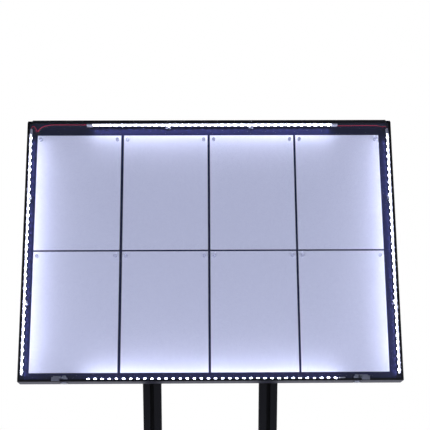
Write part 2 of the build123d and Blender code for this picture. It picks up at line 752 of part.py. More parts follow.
def cam_nut(x):
    """The nut that holds the cam on its plug."""
    y0 = -HALF_H + BARREL_INNER + 0.4 + CAM_THICKNESS
    plane = Plane(origin=(x, y0, LOCK_AXIS_Z), z_dir=(0, 1, 0))
    return extrude(plane * RegularPolygon(CAM_NUT_ACROSS / 2, 6, major_radius=False), CAM_NUT_HEIGHT)


for name, x in zip(("left", "right"), lock_places()):
    add("lock_barrel_" + name, CASE * lock_barrel(x))
    add("lock_plug_" + name, CASE * lock_plug(x))
    add("lock_cam_" + name, CASE * (lock_cam(x) + cam_nut(x)))

# ---- Link wires ----------------------------------------------------------------------------
# Red and black wires come through the grommet in the upper left corner, loop over the end of
# the left tape and run along the top side; a second pair crosses the upper right corner.


WIRE_GAP = 0.3
TOP_WIRE_START = -WIRE_GAP + TAPE_SHIFT["top"] - TAPE_LENGTH / 2 - CONNECTOR_LENGTH
TOP_WIRE_END = WIRE_GAP + TAPE_SHIFT["top"] + TAPE_LENGTH / 2 + CONNECTOR_LENGTH
SIDE_WIRE_END = WIRE_GAP + TAPE_SHIFT["right"] + TAPE_LENGTH / 2 + CONNECTOR_LENGTH


def top_left_wire(drop, bulge):
    """One wire from the grommet, up over the corner and along the top side to its connector."""
    gx = GROMMET_PLACE[0] + 1.8
    gy = GROMMET_PLACE[1] + 1.8 - drop * 0.6
    y_top = HALF_H - RAIL_LIP - 1.9 - drop * 0.25
    return wire([
        (gx, gy, PANEL_FRONT + 1.8),
        (gx, gy, PANEL_FRONT + 9 + bulge),
        (gx + 9, gy + 5, -6.5 - drop),
        (gx + 28, y_top, -6.5 - drop),
        (gx + 62, y_top, -6.0 - drop),
        (TOP_WIRE_START - 22, y_top - 0.3, -6.5 - drop),
        (TOP_WIRE_START, y_top, -7.0 - drop),
    ])


def corner_wire(drop, swell, hole_x, hole_y):
    """One wire from the end of the left tape, in a small loop back to the grommet."""
    x_side = -HALF_W + RAIL_LIP + 3.0
    gx = GROMMET_PLACE[0] + hole_x
    gy = GROMMET_PLACE[1] + hole_y
    return wire([
        (x_side, SIDE_WIRE_END, -8.0 - drop),
        (x_side, SIDE_WIRE_END + 4, -7.5 - drop),
        (x_side + 4 + swell, SIDE_WIRE_END + 8, -5.0 - drop),
        (x_side + 10 + swell, SIDE_WIRE_END + 2 - drop * 1.5, -9.0 - drop),
        (gx, gy, PANEL_FRONT + 9),
        (gx, gy, PANEL_FRONT + 1.8),
    ])


def top_right_wire(drop, bulge):
    """One wire from the right end of the top tape, round the corner to the right tape."""
    y_top = HALF_H - RAIL_LIP - 2.8 - drop * 0.25
    x_side = HALF_W - RAIL_LIP - 3.0
    return wire([
        (TOP_WIRE_END, y_top, -7.0 - drop),
        (TOP_WIRE_END + 24, y_top - 0.3, -6.5 - drop),
        (TOP_WIRE_END + 70, y_top, -6.0 - drop),
        (x_side - 22 - bulge, y_top - 0.2, -6.5 - drop),
        (x_side - 7 - bulge, y_top - 3 - bulge * 0.4, -7.0 - drop),
        (x_side - 1.0, SIDE_WIRE_END + 9, -7.5 - drop),
        (x_side, SIDE_WIRE_END, -8.0 - drop),
    ])


add(
    "wires_red",
    CASE * top_left_wire(0.0, 2.0),
    CASE * top_right_wire(4.0, 0.0),
    CASE * corner_wire(0.0, 1.0, -2.4, 1.2),
)
add(
    "wires_black",
    CASE * top_left_wire(4.0, 0.0),
    CASE * top_right_wire(0.0, 4.0),
    CASE * corner_wire(4.0, -1.0, -1.6, -2.4),
)

# ---- Driver housing ------------------------------------------------------------------------
housing = block(-HOUSING_HALF_W, HOUSING_HALF_W, HOUSING_LOW, HOUSING_HIGH, HOUSING_BACK, COVER_BACK)
housing -= block(
    -HOUSING_HALF_W + HOUSING_WALL,
    HOUSING_HALF_W - HOUSING_WALL,
    HOUSING_LOW + HOUSING_WALL,
    HOUSING_HIGH - HOUSING_WALL,
    HOUSING_BACK + HOUSING_WALL,
    COVER_BACK + 1,
)
for sign in (-1, 1):
    x0 = sign * HOUSING_HALF_W
    x1 = sign * (HOUSING_HALF_W + HOUSING_FLANGE)
    flange_back = COVER_BACK - HOUSING_WALL
    housing += block(min(x0, x1), max(x0, x1), HOUSING_LOW, HOUSING_HIGH, flange_back, COVER_BACK)

GLAND_X = 70.0
GLAND_Z = HOUSING_BACK + HOUSING_DEPTH / 2
GLAND_RADIUS = 8.0
GLAND_BORE = 3.6
gland = rod((GLAND_X, HOUSING_LOW + 6, GLAND_Z), (GLAND_X, HOUSING_LOW - 4, GLAND_Z), GLAND_RADIUS)
gland_hex = Plane(origin=(GLAND_X, HOUSING_LOW, GLAND_Z), z_dir=(0, -1, 0))
gland += extrude(gland_hex * RegularPolygon(11.0, 6, major_radius=False), 6)
gland += Pos(GLAND_X, HOUSING_LOW - 12, GLAND_Z) * Rot(90, 0, 0) * Cone(9.5, 6.5, 12)
gland_bore = rod((GLAND_X, HOUSING_LOW + 7, GLAND_Z), (GLAND_X, HOUSING_LOW - 19, GLAND_Z), GLAND_BORE)
gland_hole = rod((GLAND_X, HOUSING_LOW - 1, GLAND_Z), (GLAND_X, HOUSING_LOW + 3, GLAND_Z), GLAND_RADIUS)

HOUSING_SCREW_ROWS = (HOUSING_LOW + 15, HOUSING_HIGH - 15)
HOUSING_SCREWS = [(sx * (HOUSING_HALF_W + 6), y) for sx in (-1, 1) for y in HOUSING_SCREW_ROWS]
housing_screws = [
    pan_screw((x, y, COVER_BACK - HOUSING_WALL), (0, 0, 1), 3.6, 2.0, 2.0, HOUSING_WALL + COVER_THICKNESS + 2)
    for x, y in HOUSING_SCREWS
]
housing_holes = [Pos(x, y, COVER_BACK) * Cylinder(2.0, 12) for x, y in HOUSING_SCREWS]
add("driver_housing", CASE * (housing - gland_hole - housing_holes))
add("housing_screws", *[CASE * screw for screw in housing_screws])
add("cable_gland", CASE * (gland - gland_bore))
driver = block(-95, 45, -230, -175, COVER_BACK - 30, COVER_BACK)
driver = fillet(driver.edges().filter_by(GeomType.LINE), 2.0)
add("led_driver", CASE * driver)
add("rear_cover", CASE * (cover - cover_holes - rail_screws - housing_holes))

# ---- Tilt brackets -------------------------------------------------------------------------
CHEEK_IN = POST_SIZE / 2
CHEEK_LOW = 895.0
CHEEK_FRONT = -24.0
CHEEK_REAR = 24.0
FLANGE_LOW = -115.0
FLANGE_HIGH = 75.0


def world_yz(y, z):
    """Where a point of the case's side view lies in the standing frame."""
    lean = math.radians(LEAN)
    _, y0, z0 = CASE_ORIGIN
    return (y0 + y * math.sin(lean) - z * math.cos(lean), z0 + y * math.cos(lean) + z * math.sin(lean))


SLOT_BOLT_RADIUS = 4.0
SLOT_BOLT_HEIGHTS = (915.0, 975.0)


def slot_bolt(x, sign, z):
    """A hexagon bolt through a bracket cheek into the slot of a post."""
    seat = x + sign * (CHEEK_IN + BRACKET_WALL)
    return hex_bolt((seat, 0, z), (-sign, 0, 0), 13.0, 5.3, SLOT_BOLT_RADIUS, BRACKET_WALL + 9)


def tilt_bracket(x):
    """A welded bracket: two cheeks on the post and a flange that lies along the case."""
    low = world_yz(FLANGE_LOW, FLANGE_BACK + BRACKET_WALL / 2)
    high = world_yz(FLANGE_HIGH, FLANGE_BACK + BRACKET_WALL / 2)
    outline = [
        (CHEEK_FRONT, CHEEK_LOW),
        (CHEEK_REAR, CHEEK_LOW),
        (CHEEK_REAR, 1000),
        high,
        low,
        (CHEEK_FRONT, 1000),
    ]
    body = prism_yz(outline, x - CHEEK_IN - BRACKET_WALL, x - CHEEK_IN)
    body += prism_yz(outline, x + CHEEK_IN, x + CHEEK_IN + BRACKET_WALL)
    half = CHEEK_IN + BRACKET_WALL
    body += CASE * block(x - half, x + half, FLANGE_LOW, FLANGE_HIGH, FLANGE_BACK, FLANGE_BACK + BRACKET_WALL)
    return body


slot_bolts = []
for side in (-1, 1):
    x = side * POST_OFFSET
    slot_bolts += [slot_bolt(x, sign, z) for sign in (-1, 1) for z in SLOT_BOLT_HEIGHTS]
rail_bolts_placed = [CASE * bolt for bolt in rail_bolts]
for name, side in (("left", -1), ("right", 1)):
    add("tilt_bracket_" + name, tilt_bracket(side * POST_OFFSET) - rail_bolts_placed - slot_bolts)
add("bracket_bolts", *rail_bolts_placed, *slot_bolts)

# ---- Posts and base ------------------------------------------------------------------------
SLOT_MOUTH = 10.0
SLOT_LIP = 4.5
SLOT_WIDTH = 20.0
SLOT_DEPTH = 14.5
CORE_RADIUS = 5.0
FOOT_BRACKET = (38.0, 45.0, 5.0)
FOOT_BOLT_REACH = 25.0


def post_section():
    """The grooved section of a post: a rounded square with a T-slot in each face."""
    face = RectangleRounded(POST_SIZE, POST_SIZE, 2.0)
    half = POST_SIZE / 2
    for turn in range(4):
        mouth = Pos(half - SLOT_LIP / 2, 0) * Rectangle(SLOT_LIP + 0.1, SLOT_MOUTH)
        inner = half - SLOT_DEPTH
        cavity = make_face(Polyline(
            (half - SLOT_LIP, SLOT_WIDTH / 2),
            (half - SLOT_LIP - 3.5, SLOT_WIDTH / 2),
            (inner, SLOT_MOUTH / 2),
            (inner, -SLOT_MOUTH / 2),
            (half - SLOT_LIP - 3.5, -SLOT_WIDTH / 2),
            (half - SLOT_LIP, -SLOT_WIDTH / 2),
            close=True,
        ))
        face -= Rot(0, 0, 90 * turn) * (mouth + cavity)
    return face - Circle(CORE_RADIUS)


def t_nut(place, normal):
    """A slot nut behind the lips of a post's groove; normal points out of the groove."""
    plane = Plane(origin=place, z_dir=normal, x_dir=(0, 0, 1))
    body = plane * Pos(0, 0, -SLOT_LIP - 1.6) * Box(18, 16, 3.2)
    return body - plane * Pos(0, 0, -SLOT_LIP) * Cylinder(SLOT_BOLT_RADIUS, 12)


def foot_bolt_pair(x, sign):
    """The two bolts of one foot bracket: one into the post and one into the base."""
    width, leg, wall = FOOT_BRACKET
    y = sign * POST_SIZE / 2
    post_head = (x, y + sign * wall, BASE_TOP + FOOT_BOLT_REACH)
    base_head = (x, y + sign * FOOT_BOLT_REACH, BASE_TOP + wall)
    into_post = hex_bolt(post_head, (0, -sign, 0), 13.0, 5.3, SLOT_BOLT_RADIUS, wall + 9)
    into_base = hex_bolt(base_head, (0, 0, -1), 13.0, 5.3, SLOT_BOLT_RADIUS, wall + 7)
    return [into_post, into_base]


def foot_bracket(x, sign):
    """A gusseted angle between post and base."""
    width, leg, wall = FOOT_BRACKET
    y = sign * POST_SIZE / 2
    outline = [
        (y, BASE_TOP),
        (y + sign * leg, BASE_TOP),
        (y + sign * leg, BASE_TOP + wall),
        (y + sign * wall, BASE_TOP + wall),
        (y + sign * wall, BASE_TOP + leg),
        (y, BASE_TOP + leg),
    ]
    angle = prism_yz(outline, x - width / 2, x + width / 2)
    gusset = [
        (y + sign * wall, BASE_TOP + wall),
        (y + sign * leg, BASE_TOP + wall),
        (y + sign * wall, BASE_TOP + leg),
    ]
    for edge in (-width / 2, width / 2 - 4):
        angle += prism_yz(gusset, x + edge, x + edge + 4)
    return angle


foot_bolts = []
foot_brackets = []
t_nuts = []
for side in (-1, 1):
    x = side * POST_OFFSET
    for sign in (-1, 1):
        foot_bolts += foot_bolt_pair(x, sign)
        foot_brackets.append(foot_bracket(x, sign))
        t_nuts.append(t_nut((x, sign * POST_SIZE / 2, BASE_TOP + FOOT_BOLT_REACH), (0, sign, 0)))
        for z in SLOT_BOLT_HEIGHTS:
            t_nuts.append(t_nut((x + sign * POST_SIZE / 2, 0, z), (sign, 0, 0)))
add("foot_brackets", *[bracket - foot_bolts for bracket in foot_brackets])
add("foot_bolts", *foot_bolts)
add("slot_nuts", *t_nuts)

caps = []
for name, side in (("left", -1), ("right", 1)):
    x = side * POST_OFFSET
    add("post_" + name, extrude(Pos(x, 0, BASE_TOP) * post_section(), POST_TOP - BASE_TOP))
    cap = Pos(x, 0, POST_TOP + 2) * Box(POST_SIZE, POST_SIZE, 4)
    cap = fillet(cap.edges().group_by(Axis.Z)[-1], 1.5)
    caps.append(cap + Pos(x, 0, POST_TOP - 4) * Cylinder(CORE_RADIUS, 8))
add("post_caps", *caps)

base = block(-BASE_SIZE[0] / 2, BASE_SIZE[0] / 2, -BASE_SIZE[1] / 2, BASE_SIZE[1] / 2, FOOT_HEIGHT, BASE_TOP)
base = fillet(base.edges().filter_by(Axis.Z), 18)
for sx in (-1, 1):
    for sy in (-1, 1):
        place = Pos(sx * ANCHOR_SPACING[0] / 2, sy * ANCHOR_SPACING[1] / 2, FOOT_HEIGHT)
        base -= place * Cylinder(ANCHOR_RADIUS, 30)
add("base_plate", base - foot_bolts)
feet = []
for sx in (-1, 1):
    for sy in (-1, 1):
        pad = Pos(sx * 250, sy * 180, FOOT_HEIGHT / 2) * Cylinder(FOOT_RADIUS, FOOT_HEIGHT)
        feet.append(chamfer(pad.edges().group_by(Axis.Z)[0], 1.0))
add("rubber_feet", *feet)

# ---- Write every sub-part ------------------------------------------------------------------
os.makedirs("parts", exist_ok=True)
for name, shape in parts.items():
    export_step(shape, os.path.join("parts", name + ".step"))
print(len(parts), "sub-parts")
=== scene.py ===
# %% [markdown]
# # A leaning menu display case, lit from its edges
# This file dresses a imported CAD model. The model is loaded first and never moved: the script only
# gives its parts materials, adds the small detail that CAD leaves out, and sets up a plain studio.

# %% Load the frame
import json
import math

import bpy
from mathutils import Matrix, Vector


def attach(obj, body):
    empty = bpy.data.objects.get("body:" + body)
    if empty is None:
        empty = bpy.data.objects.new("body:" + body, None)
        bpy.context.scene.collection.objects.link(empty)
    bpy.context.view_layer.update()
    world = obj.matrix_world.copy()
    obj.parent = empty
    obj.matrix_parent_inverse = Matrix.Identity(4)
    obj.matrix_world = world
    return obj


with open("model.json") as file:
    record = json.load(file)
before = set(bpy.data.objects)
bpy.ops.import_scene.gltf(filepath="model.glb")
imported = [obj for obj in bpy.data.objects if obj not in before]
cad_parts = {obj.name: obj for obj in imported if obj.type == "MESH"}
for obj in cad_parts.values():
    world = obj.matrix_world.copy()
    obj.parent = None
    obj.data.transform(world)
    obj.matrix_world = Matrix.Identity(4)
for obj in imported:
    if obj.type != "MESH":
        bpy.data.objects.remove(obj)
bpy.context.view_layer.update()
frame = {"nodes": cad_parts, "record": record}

nodes = frame["nodes"]

# %% [markdown]
# ## Working in the plane of the case
# The case leans back, so its small parts are easiest to place along its own three directions. The
# axis of the right lock runs up the panel and the door's hinge lies on its top edge, and both are
# joints in the record, so the directions are read from there rather than typed in again.

# %% Case directions
MM = 0.001
joints = {joint["name"]: joint for joint in frame["record"]["behaviour"]["joints"]}
ACROSS = Vector((1, 0, 0))
UP = Vector(joints["right_lock_turn"]["axis"]).normalized()
OUT = ACROSS.cross(UP)
HINGE_UP = 323.8 * MM            # hinge line, measured up the panel from its middle
HINGE_OUT = 2.8 * MM             # and out from the rim plane
RIM_MIDDLE = Vector(joints["door_hinge"]["pos_m"]) - UP * HINGE_UP - OUT * HINGE_OUT
PANEL_OUT = -31.0 * MM           # front of the back panel, behind the rim plane


def case_point(across, up, out):
    """A place given in the case's own directions, as a point of the scene."""
    return RIM_MIDDLE + ACROSS * across + UP * up + OUT * out


print("case middle", [round(value, 4) for value in RIM_MIDDLE])

# %% [markdown]
# ## Two helpers for materials
# Colours are picked as sRGB hex values and a shader wants linear light, so one function converts
# them. The other adds a node, sets its values and links its inputs in one call, which keeps each
# material below short enough to read as a recipe.

# %% Material helpers
def linear(code, alpha=1.0):
    """An sRGB hex code as linear red, green, blue and alpha."""
    channels = [int(code[i:i + 2], 16) / 255 for i in (1, 3, 5)]
    straight = [c / 12.92 if c <= 0.04045 else ((c + 0.055) / 1.055) ** 2.4 for c in channels]
    return (*straight, alpha)


def node(tree, kind, links=(), values=(), **settings):
    """Add a node: settings are its own attributes, values its inputs, links its incoming wires."""
    made = tree.nodes.new(kind)
    for name, value in settings.items():
        setattr(made, name, value)
    for name, value in dict(values).items():
        made.inputs[name].default_value = value
    for name, source in dict(links).items():
        tree.links.new(source, made.inputs[name])
    return made


RELIEF_STRENGTH = 0.6
SOCKETS = {"Specular_Tint": "Specular Tint", "Specular_IOR_Level": "Specular IOR Level"}


def new_material(name, **values):
    """A material with one Principled shader, and its node tree to build on."""
    material = bpy.data.materials.new(name)
    material.use_nodes = True
    shader = material.node_tree.nodes["Principled BSDF"]
    for key, value in values.items():
        shader.inputs[SOCKETS.get(key, key)].default_value = value
    return material, material.node_tree, shader


def two_tone(tree, shader, factor, dark, light):
    """Colour the surface between two hex colours by a factor."""
    ramp = node(tree, "ShaderNodeValToRGB", links={"Fac": factor})
    ramp.color_ramp.elements[0].color = linear(dark)
    ramp.color_ramp.elements[1].color = linear(light)
    tree.links.new(ramp.outputs["Color"], shader.inputs["Base Color"])


def rough_between(tree, shader, factor, low, high):
    """Vary the roughness between two values by a factor."""
    limits = {"To Min": low, "To Max": high}
    spread = node(tree, "ShaderNodeMapRange", links={"Value": factor}, values=limits)
    tree.links.new(spread.outputs["Result"], shader.inputs["Roughness"])


def bumped(tree, shader, height, depth):
    """Turn a height pattern into relief of a depth given in metres."""
    relief = {"Distance": depth, "Strength": RELIEF_STRENGTH}
    bump = node(tree, "ShaderNodeBump", links={"Height": height}, values=relief)
    tree.links.new(bump.outputs["Normal"], shader.inputs["Normal"])


def pattern(tree, kind, per_metre, stretch=(1, 1, 1), **values):
    """A procedural texture on object coordinates, with so many features in a metre."""
    place = node(tree, "ShaderNodeTexCoord")
    told = {"Vector": place.outputs["Object"]}
    mapping = node(tree, "ShaderNodeMapping", links=told, values={"Scale": stretch})
    stretched = {"Vector": mapping.outputs["Vector"]}
    return node(tree, kind, links=stretched, values={"Scale": per_metre, **values})


# %% [markdown]
# ## Black anodised aluminium
# The frame, door trims and posts are extrusions, etched matt and dyed black in the anodising bath.
# The die leaves faint lines along the bar and the oxide is a thin, even satin. Stretched noise along
# the bar gives the lines, and the colour stays almost black with a hint of warmth.

# %% Anodised aluminium
def anodised_aluminium(name, along, dark="#040405", light="#0C0C0E", roughness=(0.42, 0.55)):
    """Satin black anodising, with die lines along the axis whose stretch is small."""
    material, tree, shader = new_material(name, Specular_IOR_Level=0.25)
    lines = pattern(tree, "ShaderNodeTexNoise", 900.0, stretch=along, Detail=3.0)
    two_tone(tree, shader, lines.outputs["Fac"], dark, light)
    rough_between(tree, shader, lines.outputs["Fac"], *roughness)
    bumped(tree, shader, lines.outputs["Fac"], 0.00004)
    return material


ANODISED_WIDE = anodised_aluminium("black_anodised_aluminium_wide", (0.02, 1, 1))
ANODISED_TALL = anodised_aluminium("black_anodised_aluminium_tall", (1, 0.04, 0.02))
print("made", ANODISED_WIDE.name, ANODISED_TALL.name)

# %% [markdown]
# ## Powder-coated steel
# The stand, rear cover and hinge leaves are sheet steel under a baked black powder coat. The powder
# melts into a soft orange peel about two millimetres across. The back panel and the lit inner walls
# of the frame are smoother. That is painted light: their black coat gets a blue-black base colour and
# a violet gloss tint that stand in for the tape's bluish light. Lit by the tape they look violet, and
# it can't be told from outside whether the coat or the light is blue, so a blue-black base and a
# violet gloss are chosen here. The frame sides are really anodised aluminium: the coat function only
# lends them its fine grain.

# %% Powder coats
def powder_coat(name, dark, light, peel_per_metre, depth, roughness, sheen="#FFFFFF"):
    """A baked powder coat with orange peel, and the tint of its gloss."""
    # A gloss tint other than white paints the colour of the light into the coat as a painted sheen.
    material, tree, shader = new_material(name, Specular_Tint=linear(sheen))
    peel = pattern(tree, "ShaderNodeTexNoise", peel_per_metre, Detail=2.0)
    cloud = pattern(tree, "ShaderNodeTexNoise", 9.0, Detail=3.0)
    two_tone(tree, shader, cloud.outputs["Fac"], dark, light)
    rough_between(tree, shader, peel.outputs["Fac"], *roughness)
    bumped(tree, shader, peel.outputs["Fac"], depth)
    return material


POWDER_COAT = powder_coat("black_powder_coated_steel", "#0B0B0C", "#151517", 450.0, 0.00012, (0.38, 0.55))
# Painted light: the violet gloss tint is a painted sheen, and the blue-black bases are painted blue light
# from the tape.
PAINTED_VIOLET_SHEEN = "#8C92F8"
PANEL_COAT = powder_coat(
    "black_enamelled_steel_painted_blue_light", "#0A0A1C", "#111128", 700.0, 0.00003, (0.3, 0.4), PAINTED_VIOLET_SHEEN)
LEG_COAT = powder_coat(
    "black_anodised_wall_painted_blue_light", "#090918", "#0F0F24", 800.0, 0.00003, (0.36, 0.48), PAINTED_VIOLET_SHEEN)
print("made", POWDER_COAT.name, PANEL_COAT.name)

# %% [markdown]
# ## Zinc plate and die-cast metal
# Screws, bolts, locks and keepers are bright zinc-plated steel: a cool grey metal with small cloudy
# patches from the passivation. The corner keys and the driver's case are die-cast aluminium, duller
# and grainier.

# %% Bare metals
def bare_metal(name, dark, light, per_metre, roughness, depth):
    """A plain metal with cloudy patches."""
    material, tree, shader = new_material(name, Metallic=1.0)
    cloud = pattern(tree, "ShaderNodeTexNoise", per_metre, Detail=4.0)
    two_tone(tree, shader, cloud.outputs["Fac"], dark, light)
    rough_between(tree, shader, cloud.outputs["Fac"], *roughness)
    bumped(tree, shader, cloud.outputs["Fac"], depth)
    return material


ZINC_PLATE = bare_metal("bright_zinc_plated_steel", "#9A9DA2", "#C3C6CB", 220.0, (0.24, 0.4), 0.00003)
DIE_CAST = bare_metal("die_cast_aluminium", "#7E8085", "#9B9DA1", 600.0, (0.45, 0.62), 0.00008)
print("made", ZINC_PLATE.name, DIE_CAST.name)

# %% [markdown]
# ## Plastics, rubber and wire
# Glands and post caps are moulded black nylon with a fine spark-eroded grain. The clips and magnet
# pins are clear moulded plastic, which only needs a low alpha and a bright gloss. Feet, gasket and
# grommet are rubber: dull, slightly dusty black. The link wires are glossy PVC.

# %% Plastics and rubber
def moulded(name, dark, light, per_metre, roughness, depth, **values):
    """A moulded or extruded plastic or rubber with a fine grain."""
    material, tree, shader = new_material(name, **values)
    grain = pattern(tree, "ShaderNodeTexNoise", per_metre, Detail=3.0)
    two_tone(tree, shader, grain.outputs["Fac"], dark, light)
    rough_between(tree, shader, grain.outputs["Fac"], *roughness)
    bumped(tree, shader, grain.outputs["Fac"], depth)
    return material


BLACK_NYLON = moulded("black_moulded_nylon", "#0C0C0D", "#161617", 1400.0, (0.45, 0.6), 0.00006)
CLEAR_ACRYLIC = moulded(
    "clear_moulded_acrylic", "#E2E6F8", "#F4F6FF", 300.0, (0.08, 0.16), 0.00001, Alpha=0.3)
RUBBER = moulded("black_epdm_rubber", "#0E0E0E", "#1A1A1A", 900.0, (0.7, 0.85), 0.00008)
RED_PVC = moulded("red_pvc_insulation", "#B01034", "#D01844", 400.0, (0.3, 0.42), 0.00002)
BLACK_PVC = moulded("black_pvc_insulation", "#08080A", "#121216", 400.0, (0.3, 0.42), 0.00002)
WHITE_NYLON = moulded("white_moulded_nylon", "#C9C9CC", "#DADADD", 700.0, (0.35, 0.5), 0.00002)
print("made six plastics")

# %% [markdown]
# ## Lit diodes and their tape
# Each diode is a small white package filled with yellow phosphor, but lit it is simply the brightest
# cool white in the scene, so it glows evenly. The tape is a white-masked flexible board right beside
# the diodes. A real lens would smear their glare over it, which a render doesn't do, so the tape has
# a little light of its own to stand for that glare.

# %% Light sources
LED_GLOW = 37.0
TAPE_GLOW = 2.2
LIT_DIODE = moulded("lit_white_diode", "#EEF0FA", "#F8F9FF", 900.0, (0.35, 0.5), 0.00001)
diode_shader = LIT_DIODE.node_tree.nodes["Principled BSDF"]
diode_shader.inputs["Emission Color"].default_value = linear("#DCE0FF")
diode_shader.inputs["Emission Strength"].default_value = LED_GLOW
TAPE_MASK = moulded("white_solder_mask_tape", "#E6E8F2", "#F4F5FB", 800.0, (0.35, 0.5), 0.00001)
tape_shader = TAPE_MASK.node_tree.nodes["Principled BSDF"]
tape_shader.inputs["Emission Color"].default_value = linear("#E4E8FF")
tape_shader.inputs["Emission Strength"].default_value = TAPE_GLOW
print("diode glow", LED_GLOW, "tape glow", TAPE_GLOW)

# %% [markdown]
# ## Coated paper and clear polycarbonate
# The sheets are bright white coated paper. Its fibres are far too fine to see from here, so the
# pattern is drawn coarser, as the faint cloudiness of a real sheet held against light. The door is
# clear polycarbonate: almost invisible from the front, with a soft gloss where it catches a lamp.

# %% Paper and polycarbonate
PAPER = moulded("white_coated_paper", "#E9EAF0", "#F6F7FB", 160.0, (0.5, 0.62), 0.00002)
POLYCARBONATE = moulded("clear_polycarbonate", "#E8EEF6", "#F2F6FB", 30.0, (0.03, 0.06), 0.000001, Alpha=0.02)
print("made", PAPER.name, POLYCARBONATE.name)

# %% [markdown]
# ## Dressing the CAD parts
# Every part that keeps its CAD shape now gets one of these finishes. The list is grouped by finish,
# which is also how a workshop would sort the parts for coating.

# %% Assign materials
FINISHES = {
    ANODISED_WIDE: ["door_trim_top", "door_trim_bottom", "lower_mount_rail", "upper_mount_rail"],
    ANODISED_TALL: ["door_trim_left", "door_trim_right", "post_left", "post_right"],
    LEG_COAT: ["frame_top", "frame_bottom", "frame_left", "frame_right"],
    PANEL_COAT: ["back_panel"],
    POWDER_COAT: [
        "rear_cover", "driver_housing", "tilt_bracket_left", "tilt_bracket_right", "base_plate",
        "foot_brackets", "hinge_case_leaf", "hinge_door_leaf",
    ],
    ZINC_PLATE: [
        "corner_screws", "clip_screws", "rear_cover_screws", "mount_rail_screws", "hinge_screws",
        "housing_screws", "bracket_bolts", "foot_bolts", "slot_nuts", "hinge_pin", "keepers",
        "keeper_plates", "keeper_rivets", "lock_barrel_left", "lock_barrel_right", "lock_plug_left",
        "lock_plug_right", "lock_cam_left", "lock_cam_right",
    ],
    DIE_CAST: ["corner_keys", "led_driver"],
    BLACK_NYLON: ["cable_gland", "post_caps"],
    CLEAR_ACRYLIC: ["panel_clips", "sheet_magnets"],
    WHITE_NYLON: ["tape_connectors"],
    TAPE_MASK: ["led_tape_top", "led_tape_bottom", "led_tape_left", "led_tape_right"],
    LIT_DIODE: ["leds"],
    RUBBER: ["door_gasket", "grommet", "rubber_feet"],
    RED_PVC: ["wires_red"],
    BLACK_PVC: ["wires_black"],
    PAPER: ["menu_sheets_upper", "menu_sheets_lower"],
    POLYCARBONATE: ["door_pane"],
}
for material, names in FINISHES.items():
    for name in names:
        slots = nodes[name].material_slots
        if not slots:
            nodes[name].data.materials.append(material)
        for entry in slots:
            entry.material = material
print("dressed", sum(len(names) for names in FINISHES.values()), "parts of", len(nodes))

# %% [markdown]
# ## The small parts on the LED tape
# Tape of this kind usually carries a chip resistor for every few diodes and copper pads at each cut
# mark. They are too small to see from the front and are assumed here. They repeat for the whole run,
# so one Geometry Nodes tree lays them out: a line of points at the pitch, and a small box on each.
# Its inputs are named, so one tree makes resistors, pads and diode faces in different sizes.

# %% Tree for a run of parts
INPUTS = {
    "Start": "NodeSocketVector", "Step": "NodeSocketVector", "Count": "NodeSocketInt",
    "Size": "NodeSocketVector", "Turn": "NodeSocketVector", "Material": "NodeSocketMaterial",
}
RUN_TREE = bpy.data.node_groups.new("run_of_parts", "GeometryNodeTree")
for name, kind in INPUTS.items():
    RUN_TREE.interface.new_socket(name, in_out="INPUT", socket_type=kind)
RUN_TREE.interface.new_socket("Geometry", in_out="OUTPUT", socket_type="NodeSocketGeometry")
asked = node(RUN_TREE, "NodeGroupInput").outputs
places = {"Count": asked["Count"], "Start Location": asked["Start"], "Offset": asked["Step"]}
line = node(RUN_TREE, "GeometryNodeMeshLine", links=places, mode="OFFSET").outputs["Mesh"]
box = node(RUN_TREE, "GeometryNodeMeshCube", links={"Size": asked["Size"]}).outputs["Mesh"]
copies = {"Points": line, "Instance": box, "Rotation": asked["Turn"]}
placed = node(RUN_TREE, "GeometryNodeInstanceOnPoints", links=copies).outputs["Instances"]
solid = node(RUN_TREE, "GeometryNodeRealizeInstances", links={"Geometry": placed}).outputs["Geometry"]
coated = {"Geometry": solid, "Material": asked["Material"]}
coated = node(RUN_TREE, "GeometryNodeSetMaterial", links=coated).outputs["Geometry"]
node(RUN_TREE, "NodeGroupOutput", links={"Geometry": coated})
print("tree nodes", len(RUN_TREE.nodes))

# %% [markdown]
# ## Where the tapes lie
# Each tape is stuck to the splayed inner leg of its own side. The leg leans a little, so the
# direction down it and the direction off its face come from its slope, and a place on a tape is
# given by three distances: along the side, down the leg and up off its face.

# %% Places on a tape
PITCH = 16.667 * MM
DIODES = 36
LEG_LEAN = math.atan(4.0 / 29.0)
HALF_WIDTH = 453.0 * MM
HALF_HEIGHT = 325.0 * MM
LIP_WIDTH = 5.0 * MM
LIP_THICKNESS = 2.0 * MM
SIDES = {                        # along the side, inwards from it, its reach, the shift of its tape
    "top": (ACROSS, -UP, HALF_HEIGHT, 7.0 * MM),
    "bottom": (ACROSS, UP, HALF_HEIGHT, 3.0 * MM),
    "left": (UP, ACROSS, HALF_WIDTH, -7.0 * MM),
    "right": (UP, -ACROSS, HALF_WIDTH, -7.0 * MM),
}


